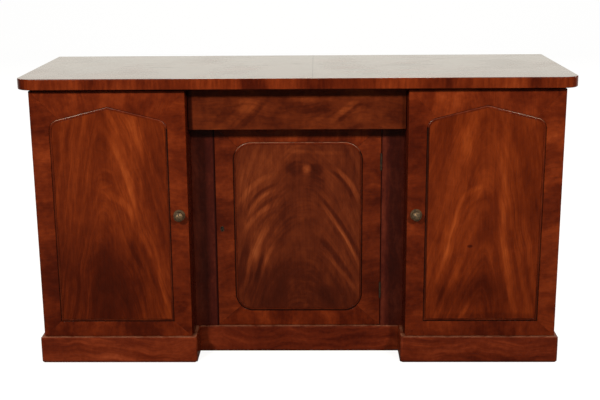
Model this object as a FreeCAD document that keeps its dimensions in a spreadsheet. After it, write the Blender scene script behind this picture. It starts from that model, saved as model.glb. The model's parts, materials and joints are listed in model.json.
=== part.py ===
import FreeCAD, Part
import math
import os
import Sketcher

# Driving dimensions in millimetres
SIZES = {
    # Top board
    "topWidth": 1688,
    "topDepth": 584,
    "topThickness": 33,
    "topCornerRadius": 50,
    "topEdgeRound": 3,
    "sideOverhang": 35,
    "frontOverhang": 26,
    "backOverhang": 8,
    # Carcase
    "carcaseHeight": 793,
    "pedestalWidth": 474.5,
    "boardThickness": 20,
    "backThickness": 10,
    "railWidth": 60,
    "recessDepth": 97,
    "shelfThickness": 18,
    "shelfRise": 356,
    "shelfSetback": 30,
    "bearerWidth": 14,
    "bearerHeight": 22,
    # Plinth
    "plinthHeight": 84,
    "plinthThickness": 22,
    "plinthProjection": 12,
    "plinthChamfer": 3,
    "groundWidth": 30,
    "groundHeight": 44,
    "blockSize": 30,
    # Pedestal doors
    "doorThickness": 22,
    "doorGap": 1,
    "doorInset": 3.5,
    "doorFoot": 1.5,
    "doorHead": 6,
    "stileWidth": 55,
    "bottomRailWidth": 49,
    "apexDrop": 48,
    "shoulderDrop": 93.5,
    "shoulderRadius": 36,
    "mitreEase": 3,
    # Centre door
    "centreStileWidth": 57,
    "centreRailWidth": 50,
    "centreCornerRadius": 58,
    "recessStileWidth": 71.5,
    "centreSideGap": 1.5,
    "centreHeadGap": 2,
    # Panels and their beads
    "panelThickness": 8,
    "panelSink": 7,
    "panelTongue": 9,
    "panelPlay": 1,
    "fieldRise": 5.5,
    "fieldPlay": 0.2,
    "beadWidth": 8,
    "beadHeight": 6.5,
    "beadRound": 4,
    # Drawer
    "drawerRecess": 34,
    "drawerFrontThickness": 20,
    "drawerFrontHeight": 126,
    "drawerSideGap": 2,
    "drawerSideHeight": 100,
    "drawerSideThickness": 12,
    "drawerBackGap": 56,
    "drawerBottomThickness": 8,
    "drawerBottomRise": 10,
    "drawerRailThickness": 20,
    "runnerWidth": 18,
    "runningGap": 0.3,
    "fingerWidth": 320,
    "fingerHeight": 10,
    "fingerDepth": 9,
    # Hinges
    "hingeLength": 76,
    "hingeInset": 95,
    "centreHingeLength": 54,
    "centreHingeTopInset": 87,
    "centreHingeFootInset": 93,
    "knuckleRadius": 4,
    "centreKnuckleRadius": 3.2,
    "knuckleGap": 0.3,
    "pinRadius": 2,
    "centrePinRadius": 1.6,
    "pinFit": 0.05,
    "leafWidth": 18,
    "centreLeafWidth": 17,
    "leafThickness": 2,
    "leafGap": 0.2,
    # Screws
    "hingeScrewRadius": 1.6,
    "hingeScrewHeadRadius": 3,
    "hingeScrewHeadHeight": 1,
    "hingeScrewLength": 14,
    "hingeScrewInset": 14,
    "hingeScrewSetback": 9,
    "topScrewRadius": 2.25,
    "topScrewHeadRadius": 4.5,
    "topScrewHeadHeight": 3,
    "topScrewBite": 18,
    "screwFit": 0.05,
    # Knobs and catches
    "knobRise": 399,
    "knobRadius": 15,
    "knobLength": 30,
    "knobDome": 7,
    "knobRim": 8,
    "knobFlare": 2,
    "neckRadius": 6,
    "roseRadius": 18,
    "roseThickness": 3,
    "spindleRadius": 4,
    "spindleFit": 0.3,
    "tongueReach": 24,
    "tongueWidth": 12,
    "tongueThickness": 3,
    "tongueSetback": 8,
    "slotPlay": 3,
    "slotDepth": 16,
    # Lock
    "lockRise": 331,
    "keyholeInset": 19,
    "keyholeRadius": 3.6,
    "keyholeSlotWidth": 4,
    "keyholeSlotDrop": 9,
    "plateRadius": 5.5,
    "plateDrop": 12,
    "plateThickness": 1,
    "lockCaseWidth": 46,
    "lockCaseHeight": 64,
    "lockCaseThickness": 14,
    "boltWidth": 18,
    "boltThickness": 5,
    "boltLength": 30,
    "boltRise": 16,
    "boltThrow": 8,
    "boltFit": 0.3,
    "mortisePlay": 1.5,
}


# A length worked out from the sheet, kept both as an expression and as a number
class Length:
    def __init__(self, text, value):
        self.text = text
        self.value = value

    def __add__(self, other):
        return Length(f"({self.text} + {other.text})", self.value + other.value)

    def __sub__(self, other):
        return Length(f"({self.text} - {other.text})", self.value - other.value)

    def __neg__(self):
        return Length(f"(-{self.text})", -self.value)

    def __mul__(self, share):
        if isinstance(share, Length):
            return Length(f"({self.text} * {share.text})", self.value * share.value)
        return Length(f"({self.text} * {share})", self.value * share)

    def __truediv__(self, share):
        if isinstance(share, Length):
            return Length(f"({self.text} / {share.text})", self.value / share.value)
        return Length(f"({self.text} / {share})", self.value / share)

    def root(self):
        return Length(f"sqrt({self.text})", math.sqrt(self.value))


class Sizes:
    pass


doc = FreeCAD.newDocument("Sideboard")
sheet = doc.addObject("Spreadsheet::Sheet", "Sizes")
size = Sizes()
for row, (alias, number) in enumerate(SIZES.items(), start=1):
    sheet.set(f"A{row}", alias)
    sheet.set(f"B{row}", str(number))
    sheet.setAlias(f"B{row}", alias)
    setattr(size, alias, Length(f"Sizes.{alias}", float(number)))
doc.recompute()

ZERO = Length("0", 0)
TOUCH = 1e-4
TWO_ROOT = math.sqrt(2)
nodes = []


# A finished sub-part, under the name of its node
def keep(name, piece):
    piece.Label = name
    nodes.append(piece)
    return piece


# A straight board between two places along each axis
def board(name, across, along, up):
    box = doc.addObject("Part::Box", name)
    for side, axis, (low, high) in (("Length", "x", across), ("Width", "y", along), ("Height", "z", up)):
        box.setExpression(side, (high - low).text)
        box.setExpression(f"Placement.Base.{axis}", low.text)
    return box


# A round bar from a point along +X, +Y or +Z
def rod(name, start, axis, radius, length):
    turns = {
        "x": FreeCAD.Rotation(FreeCAD.Vector(0, 1, 0), 90),
        "y": FreeCAD.Rotation(FreeCAD.Vector(1, 0, 0), -90),
        "z": FreeCAD.Rotation(),
    }
    bar = doc.addObject("Part::Cylinder", name)
    bar.Placement = FreeCAD.Placement(FreeCAD.Vector(), turns[axis])
    bar.setExpression("Radius", radius.text)
    bar.setExpression("Height", length.text)
    for way, place in zip("xyz", start):
        bar.setExpression(f"Placement.Base.{way}", place.text)
    return bar


def group(name, pieces):
    compound = doc.addObject("Part::Compound", name)
    compound.Links = pieces
    return compound


def fused(name, pieces):
    union = doc.addObject("Part::MultiFuse", name)
    union.Shapes = pieces
    return union


def cut(name, piece, cutters):
    result = doc.addObject("Part::Cut", name)
    result.Base = piece
    result.Tool = cutters[0] if len(cutters) == 1 else group(f"{name}_cutters", cutters)
    return result


def mirrored(name, piece):
    twin = doc.addObject("Part::Mirroring", name)
    twin.Source = piece
    twin.Normal = FreeCAD.Vector(1, 0, 0)
    return twin


# The pieces of a pair, the given one and its mirror image
def pair(name, piece):
    return group(name, [piece, mirrored(f"{name}_twin", piece)])


# One closed loop of a sketch. A corner is (u, v), or (u, v, radius, turn) where an arc
# runs from it to the next corner, turning left for 1 and right for -1.
def draw_loop(sketch, corners):
    count = len(corners)
    points = [FreeCAD.Vector(corner[0].value, corner[1].value, 0) for corner in corners]
    starts = []
    for index, corner in enumerate(corners):
        here = points[index]
        there = points[(index + 1) % count]
        if len(corner) == 2:
            edge = sketch.addGeometry(Part.LineSegment(here, there), False)
            starts.append((edge, 1, 2))
            continue
        radius, turn = corner[2], corner[3]
        chord = there - here
        reach = math.sqrt(max(radius.value ** 2 - (chord.Length / 2) ** 2, 0))
        normal = FreeCAD.Vector(-chord.y, chord.x, 0).normalize() * (reach * turn)
        centre = (here + there) * 0.5 + normal
        first, last = (here, there) if turn > 0 else (there, here)
        angles = [math.atan2(p.y - centre.y, p.x - centre.x) for p in (first, last)]
        circle = Part.Circle(centre, FreeCAD.Vector(0, 0, 1), radius.value)
        edge = sketch.addGeometry(Part.ArcOfCircle(circle, angles[0], angles[1]), False)
        starts.append((edge, 1, 2) if turn > 0 else (edge, 2, 1))
        rule = sketch.addConstraint(Sketcher.Constraint("Radius", edge, radius.value))
        sketch.setExpression(f"Constraints[{rule}]", radius.text)
    for index, (edge, start, _) in enumerate(starts):
        before, _, end = starts[index - 1]
        sketch.addConstraint(Sketcher.Constraint("Coincident", before, end, edge, start))
        for kind, place in zip(("DistanceX", "DistanceY"), corners[index]):
            rule = sketch.addConstraint(Sketcher.Constraint(kind, -1, 1, edge, start, place.value))
            sketch.setExpression(f"Constraints[{rule}]", place.text)


# A body padded from loops drawn on its own XY or XZ plane. From XY it grows up from the
# given height, and from XZ it grows towards the front from the given depth.
def padded(name, plane, loops, thickness, place):
    body = doc.addObject("PartDesign::Body", name)
    sketch = body.newObject("Sketcher::SketchObject", f"{name}_outline")
    base = [feature for feature in body.Origin.OriginFeatures if feature.Role == plane][0]
    sketch.AttachmentSupport = [(base, "")]
    sketch.MapMode = "FlatFace"
    for corners in loops:
        draw_loop(sketch, corners)
    pad = body.newObject("PartDesign::Pad", f"{name}_pad")
    pad.Profile = sketch
    pad.setExpression("Length", thickness.text)
    body.setExpression("Placement.Base.z" if plane == "XY_Plane" else "Placement.Base.y", place.text)
    doc.recompute()
    return body


# A fillet or chamfer on the edges of a body's last feature that pass a test
def eased(body, kind, amount, test):
    last = body.Tip
    names = [f"Edge{number}" for number, edge in enumerate(last.Shape.Edges, start=1) if test(edge)]
    feature = body.newObject(f"PartDesign::{kind}", f"{body.Name}_{kind}")
    feature.Base = (last, names)
    feature.setExpression("Radius" if kind == "Fillet" else "Size", amount.text)
    doc.recompute()
    return body


# Whether two numbers mark the same place
def same(value, goal):
    return abs(value - goal) < TOUCH


# The head and shank of a screw, as two rods that meet at the seat. The shank runs along
# an axis, forwards for 1 and backwards for -1.
def screw_rods(name, seat, axis, way, head, shank):
    order = "xyz".index(axis)
    head_start = list(seat)
    shank_start = list(seat)
    if way > 0:
        head_start[order] = seat[order] - head[1]
    else:
        shank_start[order] = seat[order] - shank[1]
    return [
        rod(f"{name}_head", head_start, axis, head[0], head[1]),
        rod(f"{name}_shank", shank_start, axis, shank[0], shank[1]),
    ]


# The screws at some seats, and the rods that bore their holes
def screws(name, seats, axis, way, head, shank):
    solids = []
    holes = []
    for number, seat in enumerate(seats, start=1):
        label = f"{name}_{number}"
        solids.append(fused(label, screw_rods(label, seat, axis, way, head, shank)))
        wide_head = (head[0] + size.screwFit, head[1])
        wide_shank = (shank[0] + size.screwFit, shank[1] + size.screwFit)
        holes += screw_rods(f"{label}_hole", seat, axis, way, wide_head, wide_shank)
    return solids, holes


# Places that many pieces share
knob_reach = size.knobLength - size.frontOverhang
top_front = -(size.topDepth - knob_reach) / 2
top_back = top_front + size.topDepth
door_face = top_front + size.frontOverhang
door_back = door_face + size.doorThickness
carcase_front = door_back + size.doorGap
carcase_back = top_back - size.backOverhang
board_back = carcase_back - size.backThickness
plinth_front = door_face - size.plinthProjection
recess_face = door_face + size.recessDepth
recess_door_back = recess_face + size.doorThickness
recess_back = recess_door_back + size.doorGap
centre_plinth_front = recess_face - size.plinthProjection
outer_face = size.topWidth / 2 - size.sideOverhang
inner_face = outer_face - size.pedestalWidth
outer_lining = outer_face - size.boardThickness
inner_lining = inner_face + size.boardThickness
plinth_top = size.plinthHeight
underside = plinth_top + size.carcaseHeight
floor_top = plinth_top + size.boardThickness
rail_foot = underside - size.boardThickness
shelf_foot = floor_top + size.shelfRise
shelf_top = shelf_foot + size.shelfThickness
door_foot = plinth_top + size.doorFoot
door_head = underside - size.doorHead
drawer_foot = door_head - size.drawerFrontHeight
runner_top = drawer_foot - size.runningGap
hinge_axis_x = outer_face
hinge_axis_y = door_back + size.doorGap / 2
centre_edge = inner_face - size.recessStileWidth
centre_door_edge = centre_edge - size.centreSideGap
centre_axis_x = (centre_edge + centre_door_edge) / 2
centre_axis_y = recess_face
centre_door_head = drawer_foot - size.centreHeadGap
knob_x = inner_face + size.doorInset + size.stileWidth / 2
knob_z = plinth_top + size.knobRise
keyhole_x = centre_door_edge - size.keyholeInset
keyhole_z = plinth_top + size.lockRise
tongue_front = door_back + size.tongueSetback
tongue_back = tongue_front + size.tongueThickness


# The top screws of one rail, at a quarter and three quarters of its length
def top_screws(name, across, along):
    middle = (along[0] + along[1]) / 2
    quarter = (across[1] - across[0]) / 4
    seats = [(across[0] + quarter, middle, rail_foot), (across[1] - quarter, middle, rail_foot)]
    head = (size.topScrewHeadRadius, size.topScrewHeadHeight)
    shank = (size.topScrewRadius, size.boardThickness + size.topScrewBite)
    return screws(name, seats, "z", 1, head, shank)


# The rails that tie the carcase together under the top board, screwed to it from below
def build_rails_and_top():
    front = (carcase_front, carcase_front + size.railWidth)
    rear = (board_back - size.railWidth, board_back)
    up = (rail_foot, underside)
    left = (-outer_lining, -inner_lining)
    right = (inner_lining, outer_lining)
    centre = (-inner_face, inner_face)
    places = {
        "left_front_rail": (left, front),
        "left_rear_rail": (left, rear),
        "right_front_rail": (right, front),
        "right_rear_rail": (right, rear),
        "centre_rear_rail": (centre, rear),
    }
    rails = []
    all_screws = []
    all_holes = []
    for name, (across, along) in places.items():
        solids, holes = top_screws(f"{name}_screw", across, along)
        rails.append(cut(name, board(f"{name}_board", across, along, up), holes))
        all_screws += solids
        all_holes += holes
    keep("top_rails", group("top_rails", rails))
    keep("top_screws", group("top_screws", all_screws))

    half = size.topWidth / 2
    reach = half - size.topCornerRadius
    corner_back = top_front + size.topCornerRadius
    corners = [
        (-reach, top_front),
        (reach, top_front, size.topCornerRadius, 1),
        (half, corner_back),
        (half, top_back),
        (-half, top_back),
        (-half, corner_back, size.topCornerRadius, 1),
    ]
    slab = padded("top_slab", "XY_Plane", [corners], size.topThickness, underside)

    def is_rim(edge):
        box = edge.BoundBox
        flat = same(box.ZMin, box.ZMax)
        return flat and not same(box.YMin, top_back.value)

    eased(slab, "Fillet", size.topEdgeRound, is_rim)
    keep("top", cut("top", slab, all_holes))


# One leaf of a hinge with its knuckles round a pin along Z, and the bore for the pin. The
# frame's leaf holds the outer knuckles and the door's leaf the middle one.
def hinge_leaf(name, axis, plate, foot, length, radius, pin_radius, on_frame):
    low = foot + length / 3
    high = foot + length - length / 3
    top = foot + length
    gap = size.knuckleGap
    knuckles = [(foot, low), (high, top)]
    notches = [(low, high)]
    if not on_frame:
        knuckles = [(low + gap, high - gap)]
        notches = [(foot, low + gap), (high - gap, top)]
    clear = radius + gap
    around = [(place - clear, place + clear) for place in axis]
    cutters = [board(f"{name}_notch_{number}", *around, span) for number, span in enumerate(notches)]
    plate_board = board(f"{name}_plate", *plate, (foot, top))
    pieces = [cut(f"{name}_notched", plate_board, cutters)]
    for number, (start, end) in enumerate(knuckles):
        pieces.append(rod(f"{name}_knuckle_{number}", (*axis, start), "z", radius, end - start))
    bore = rod(f"{name}_bore", (*axis, foot), "z", pin_radius + size.pinFit, length)
    return fused(f"{name}_joined", pieces), bore


# The butt hinges of one door, and what they leave in the wood. Their leaves lie face to
# face across the Y axis or the X axis, with the frame's leaf on the positive side. Their
# knuckles are half let into the wood, in a round groove that the door shares with its frame.
class Hinges:
    def __init__(self, name, across, axis, reach, feet, length, radius, pin_radius):
        self.across = across
        self.frame_leaves = []
        self.door_leaves = []
        self.pins = []
        self.frame_screws = []
        self.door_screws = []
        self.frame_cutters = []
        self.door_cutters = []
        middle = axis["xy".index(across)]
        half_gap = size.leafGap / 2
        near = middle + half_gap
        far = near + size.leafThickness
        door_near = middle - half_gap
        door_far = door_near - size.leafThickness
        reach_from = axis["yx".index(across)]
        leaf = (reach_from, reach_from + reach)
        screw_place = reach_from + reach - size.hingeScrewSetback
        head = (size.hingeScrewHeadRadius, size.hingeScrewHeadHeight)
        shank = (size.hingeScrewRadius, size.hingeScrewLength)
        for number, foot in enumerate(feet, start=1):
            top = foot + length
            heights = [foot + size.hingeScrewInset, top - size.hingeScrewInset]
            for on_frame in (True, False):
                label = f"{name}_{number}_{'frame' if on_frame else 'door'}"
                way = 1 if on_frame else -1
                thick = (near, far) if on_frame else (door_far, door_near)
                bed = (middle, far) if on_frame else (door_far, middle)
                depth = near + head[1] if on_frame else door_near - head[1]
                seats = [(*self.turned(screw_place, depth), height) for height in heights]
                solids, holes = screws(f"{label}_screw", seats, across, way, head, shank)
                joined, bore = hinge_leaf(
                    label, axis, self.turned(leaf, thick), foot, length, radius, pin_radius, on_frame)
                piece = cut(f"{label}_leaf", joined, [bore] + holes)
                cutters = [board(f"{label}_bed", *self.turned(leaf, bed), (foot, top))] + holes
                (self.frame_leaves if on_frame else self.door_leaves).append(piece)
                (self.frame_screws if on_frame else self.door_screws).extend(solids)
                (self.frame_cutters if on_frame else self.door_cutters).extend(cutters)
            gap = size.knuckleGap
            groove = rod(f"{name}_{number}_groove", (*axis, foot - gap), "z", radius + gap, length + gap * 2)
            self.frame_cutters.append(groove)
            self.door_cutters.append(groove)
            self.pins.append(rod(f"{name}_{number}_pin", (*axis, foot), "z", pin_radius, length))

    # A place along the leaf and one through it, in the order X, Y
    def turned(self, along_leaf, through):
        return (along_leaf, through) if self.across == "y" else (through, along_leaf)


# The left door's hinges, in mirror for the right door
def pedestal_hinges():
    feet = [door_foot + size.hingeInset, door_head - size.hingeInset - size.hingeLength]
    return Hinges(
        "left_hinge", "y", (-hinge_axis_x, hinge_axis_y), size.leafWidth, feet, size.hingeLength,
        size.knuckleRadius, size.pinRadius)


# The centre door's hinges, in the gap beside its right edge
def centre_hinges():
    length = size.centreHingeLength
    feet = [door_foot + size.centreHingeFootInset, centre_door_head - size.centreHingeTopInset - length]
    return Hinges(
        "centre_hinge", "x", (centre_axis_x, centre_axis_y), size.centreLeafWidth, feet, length,
        size.centreKnuckleRadius, size.centrePinRadius)


# The boards of the three cupboards
def build_carcase(hinges):
    along = (carcase_front, carcase_back)
    inside = (carcase_front, board_back)
    up = (plinth_top, underside)
    left = (-outer_lining, -inner_lining)
    centre = (-inner_face, inner_face)
    outer = board("left_outer_board", (-outer_face, -outer_lining), along, up)
    left_outer = cut("left_outer_side", outer, hinges.frame_cutters)
    keep("left_outer_side", left_outer)
    keep("right_outer_side", mirrored("right_outer_side", left_outer))
    slot = board(
        "left_catch_slot",
        (-inner_lining, -inner_lining + size.slotDepth),
        (tongue_front - size.slotPlay, tongue_back + size.slotPlay),
        (knob_z - size.tongueReach - size.slotPlay, knob_z + size.tongueWidth / 2 + size.slotPlay),
    )
    inner = board("left_inner_board", (-inner_lining, -inner_face), along, up)
    left_inner = cut("left_inner_side", inner, [slot])
    keep("left_inner_side", left_inner)
    keep("right_inner_side", mirrored("right_inner_side", left_inner))

    floor = board("left_floor", left, inside, (plinth_top, floor_top))
    keep("pedestal_floors", pair("pedestal_floors", floor))
    keep("centre_floor", board("centre_floor", centre, (recess_back, board_back), (plinth_top, floor_top)))
    back = board("left_back", left, (board_back, carcase_back), up)
    keep("pedestal_backs", pair("pedestal_backs", back))
    keep("centre_back", board("centre_back", centre, (board_back, carcase_back), up))

    shelf_along = (carcase_front + size.shelfSetback, board_back)
    centre_along = (recess_back + size.shelfSetback, board_back)
    shelf = board("left_shelf", left, shelf_along, (shelf_foot, shelf_top))
    keep("pedestal_shelves", pair("pedestal_shelves", shelf))
    keep("centre_shelf", board("centre_shelf", centre, centre_along, (shelf_foot, shelf_top)))
    bearer_up = (shelf_foot - size.bearerHeight, shelf_foot)
    places = {
        "left_outer_bearer": ((-outer_lining, -outer_lining + size.bearerWidth), shelf_along),
        "left_inner_bearer": ((-inner_lining - size.bearerWidth, -inner_lining), shelf_along),
        "centre_left_bearer": ((-inner_face, -inner_face + size.bearerWidth), centre_along),
    }
    bearers = []
    for name, (across, depth) in places.items():
        bearer = board(name, across, depth, bearer_up)
        bearers += [bearer, mirrored(f"{name}_twin", bearer)]
    keep("shelf_bearers", group("shelf_bearers", bearers))


# The frame round the centre door, and what carries the drawer
def build_centre_frame(hinges):
    along = (recess_face, recess_back)
    up = (plinth_top, runner_top)
    bolt_half = size.boltWidth / 2 + size.mortisePlay
    bolt_z = keyhole_z + size.boltRise
    bolt_y = recess_door_back - size.lockCaseThickness / 2
    bolt_deep = size.boltThickness / 2 + size.mortisePlay
    mortise = board(
        "bolt_mortise",
        (-centre_edge - size.boltThrow - size.mortisePlay, -centre_edge),
        (bolt_y - bolt_deep, bolt_y + bolt_deep),
        (bolt_z - bolt_half, bolt_z + bolt_half),
    )
    left = board("left_stile_board", (-inner_face, -centre_edge), along, up)
    right = board("right_stile_board", (centre_edge, inner_face), along, up)
    stiles = [
        cut("left_centre_stile", left, [mortise]),
        cut("right_centre_stile", right, hinges.frame_cutters),
    ]
    keep("centre_stiles", group("centre_stiles", stiles))

    rail_along = (recess_back, recess_back + size.railWidth)
    rail_up = (runner_top - size.drawerRailThickness, runner_top)
    keep("drawer_rail", board("drawer_rail", (-inner_face, inner_face), rail_along, rail_up))
    guide = (-inner_face, -inner_face + size.runnerWidth)
    runner = board("left_runner", guide, (rail_along[1], board_back), rail_up)
    kicker_up = (drawer_foot + size.drawerSideHeight + size.runningGap, underside)
    kicker = board("left_kicker", guide, (recess_back, board_back - size.railWidth), kicker_up)
    guides = [runner, mirrored("right_runner", runner), kicker, mirrored("right_kicker", kicker)]
    keep("drawer_guides", group("drawer_guides", guides))


# A plinth board drawn in plan, with its top edge chamfered where it faces out
def plinth_board(name, corners, is_face):
    piece = padded(name, "XY_Plane", [corners], size.plinthHeight, ZERO)

    def is_arris(edge):
        box = edge.BoundBox
        at_top = same(box.ZMin, size.plinthHeight.value) and same(box.ZMax, size.plinthHeight.value)
        return at_top and is_face(box)

    return eased(piece, "Chamfer", size.plinthChamfer, is_arris)


# The stepped plinth, mitred at its front corners, with the pine bearers and blocks inside
def build_plinth():
    thick = size.plinthThickness
    end_face = outer_face + size.plinthProjection
    return_face = inner_face - size.plinthProjection
    end_lining = end_face - thick
    return_lining = return_face + thick
    front_lining = plinth_front + thick
    centre_lining = centre_plinth_front + thick
    back_lining = carcase_back - thick

    front = plinth_board(
        "left_plinth_front",
        [(-end_face, plinth_front), (-return_face, plinth_front), (-return_lining, front_lining),
         (-end_lining, front_lining)],
        lambda box: same(box.YMin, plinth_front.value) and same(box.YMax, plinth_front.value),
    )
    keep("plinth_pedestal_fronts", pair("plinth_pedestal_fronts", front))
    inner_return = plinth_board(
        "left_plinth_return",
        [(-return_face, plinth_front), (-return_face, centre_lining), (-return_lining, centre_lining),
         (-return_lining, front_lining)],
        lambda box: same(box.XMin, -return_face.value) and same(box.XMax, -return_face.value),
    )
    keep("plinth_returns", pair("plinth_returns", inner_return))
    end = plinth_board(
        "left_plinth_end",
        [(-end_face, plinth_front), (-end_lining, front_lining), (-end_lining, carcase_back),
         (-end_face, carcase_back)],
        lambda box: same(box.XMin, -end_face.value) and same(box.XMax, -end_face.value),
    )
    keep("plinth_ends", pair("plinth_ends", end))
    centre = plinth_board(
        "centre_plinth_front",
        [(-return_face, centre_plinth_front), (return_face, centre_plinth_front),
         (return_face, centre_lining), (-return_face, centre_lining)],
        lambda box: same(box.YMin, centre_plinth_front.value) and same(box.YMax, centre_plinth_front.value),
    )
    keep("plinth_centre_front", centre)
    up = (ZERO, plinth_top)
    keep("plinth_back", board("plinth_back", (-end_lining, end_lining), (back_lining, carcase_back), up))

    bearer_up = (plinth_top - size.groundHeight, plinth_top)
    ground = size.groundWidth
    end_bearer = board(
        "left_end_bearer", (-end_lining, -end_lining + ground), (front_lining, back_lining), bearer_up)
    inner_bearer = board(
        "left_inner_plinth_bearer", (-return_lining - ground, -return_lining),
        (front_lining, back_lining), bearer_up)
    front_bearer = board(
        "left_front_bearer", (-end_lining + ground, -return_lining - ground),
        (front_lining, front_lining + ground), bearer_up)
    centre_bearer = board(
        "centre_bearer", (-return_lining, return_lining), (centre_lining, centre_lining + ground),
        bearer_up)
    bearers = [centre_bearer]
    for name, bearer in (("end", end_bearer), ("inner", inner_bearer), ("front", front_bearer)):
        bearers += [bearer, mirrored(f"right_{name}_bearer", bearer)]
    keep("plinth_bearers", group("plinth_bearers", bearers))

    block = size.blockSize
    block_up = (ZERO, bearer_up[0])
    outer = (-end_lining, -end_lining + block)
    inner = (-return_lining - block, -return_lining)
    middle = (-return_lining, -return_lining + block)
    front_span = (front_lining, front_lining + block)
    rear_span = (back_lining - block, back_lining)
    corners = {
        "front_outer_block": (outer, front_span),
        "front_inner_block": (inner, front_span),
        "rear_outer_block": (outer, rear_span),
        "rear_inner_block": (inner, rear_span),
        "centre_block": (middle, (centre_lining, centre_lining + block)),
    }
    blocks = []
    for name, (across, along) in corners.items():
        piece = board(name, across, along, block_up)
        blocks += [piece, mirrored(f"{name}_twin", piece)]
    keep("plinth_blocks", group("plinth_blocks", blocks))


# The opening of a pedestal door, a shallow pointed arch with rounded shoulders, drawn in
# by an inset. It returns the corners and the places where the arcs begin.
class Arch:
    def __init__(self, inset):
        self.left = -outer_face + size.stileWidth + inset
        self.right = -(inner_face + size.doorInset + size.stileWidth) - inset
        self.middle = -(outer_face + inner_face + size.doorInset) / 2
        run = (outer_face - inner_face - size.doorInset) / 2 - size.stileWidth
        rise = size.shoulderDrop - size.apexDrop
        slope = (run * run + rise * rise).root()
        self.foot = door_foot + size.bottomRailWidth + inset
        self.apex = door_head - size.apexDrop - inset * slope / run
        self.shoulder = door_head - size.shoulderDrop - inset * (slope - rise) / run
        self.radius = size.shoulderRadius - inset
        tangent = self.radius * (slope - rise) / run
        self.spring = self.shoulder - tangent
        self.arc_in = tangent * run / slope
        self.arc_up = self.shoulder + tangent * rise / slope
        self.mitre_in = (tangent + size.mitreEase) * run / slope
        self.mitre_up = self.shoulder + (tangent + size.mitreEase) * rise / slope

    def corners(self):
        return [
            (self.left, self.foot),
            (self.right, self.foot),
            (self.right, self.spring, self.radius, 1),
            (self.right - self.arc_in, self.arc_up),
            (self.middle, self.apex),
            (self.left + self.arc_in, self.arc_up, self.radius, 1),
            (self.left, self.spring),
        ]


# The bead round a panel, rounded towards the frame so that a quirk is left beside it
def rounded_bead(name, outside, inside, back):
    filled = padded(f"{name}_filled", "XZ_Plane", [outside], size.beadHeight, back)

    def is_front(edge):
        box = edge.BoundBox
        return same(box.YMin, -size.beadHeight.value) and same(box.YMax, -size.beadHeight.value)

    eased(filled, "Fillet", size.beadRound, is_front)
    return cut(name, filled, [padded(f"{name}_hole", "XZ_Plane", [inside], size.beadHeight, back)])


# A panel with a thin tongue all round, and a field that stands forward inside the bead
def fielded_panel(name, across, along, up, field_outline):
    tongue = board(f"{name}_tongue", across, along, up)
    field = padded(f"{name}_field", "XZ_Plane", [field_outline], size.fieldRise, along[0])
    return fused(name, [tongue, field])


# The left door's frame, mitred at the corners and grooved for its panel
def build_left_door(hinges):
    arch = Arch(ZERO)
    edge = -outer_face
    free = -(inner_face + size.doorInset)
    thick = size.doorThickness
    foot = arch.foot
    panel_front = door_face + size.panelSink
    panel_along = (panel_front, panel_front + size.panelThickness)
    reach = size.panelTongue
    loose = size.panelTongue + size.panelPlay
    panel_up = (foot - reach, arch.apex + reach)
    field = Arch(size.beadWidth + size.fieldPlay)
    panel = fielded_panel(
        "left_door_panel", (arch.left - reach, arch.right + reach), panel_along, panel_up, field.corners())
    groove = board(
        "left_door_groove", (arch.left - loose, arch.right + loose), panel_along,
        (foot - loose, arch.apex + loose))
    outer_corners = [
        (edge, door_foot),
        (arch.left, foot),
        (arch.left, arch.spring, arch.radius, -1),
        (arch.left + arch.arc_in, arch.arc_up),
        (arch.left + arch.mitre_in, arch.mitre_up),
        (edge, door_head),
    ]
    inner_corners = [
        (free, door_foot),
        (free, door_head),
        (arch.right - arch.mitre_in, arch.mitre_up),
        (arch.right - arch.arc_in, arch.arc_up, arch.radius, -1),
        (arch.right, arch.spring),
        (arch.right, foot),
    ]
    bottom_corners = [(edge, door_foot), (free, door_foot), (arch.right, foot), (arch.left, foot)]
    top_corners = [
        (edge, door_head),
        (arch.left + arch.mitre_in, arch.mitre_up),
        (arch.middle, arch.apex),
        (arch.right - arch.mitre_in, arch.mitre_up),
        (free, door_head),
    ]
    spindle_bore = rod(
        "left_spindle_bore", (-knob_x, door_face, knob_z), "y", size.spindleRadius + size.spindleFit, thick)
    outer_stile = padded("left_door_outer", "XZ_Plane", [outer_corners], thick, door_back)
    inner_stile = padded("left_door_inner", "XZ_Plane", [inner_corners], thick, door_back)
    bottom_rail = padded("left_door_bottom", "XZ_Plane", [bottom_corners], thick, door_back)
    top_rail = padded("left_door_top", "XZ_Plane", [top_corners], thick, door_back)
    stiles = [
        cut("left_door_outer_stile", outer_stile, [groove] + hinges.door_cutters),
        cut("left_door_inner_stile", inner_stile, [groove, spindle_bore]),
    ]
    rails = [
        cut("left_door_bottom_rail", bottom_rail, [groove]),
        cut("left_door_top_rail", top_rail, [groove]),
    ]
    bead = rounded_bead("left_door_bead", arch.corners(), Arch(size.beadWidth).corners(), panel_front)
    rose_start = (-knob_x, door_face - size.roseThickness, knob_z)
    rose = cut(
        "left_knob_rose",
        rod("left_rose_disc", rose_start, "y", size.roseRadius, size.roseThickness),
        [rod("left_rose_bore", rose_start, "y", size.neckRadius + size.spindleFit, size.roseThickness)],
    )
    return {
        "door_stiles": group("left_door_stiles", stiles),
        "door_rails": group("left_door_rails", rails),
        "door_panel": panel,
        "door_bead": bead,
        "door_leaves": group("left_door_leaves", hinges.door_leaves),
        "door_screws": group("left_door_screws", hinges.door_screws),
        "knob_rose": rose,
    }


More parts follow.
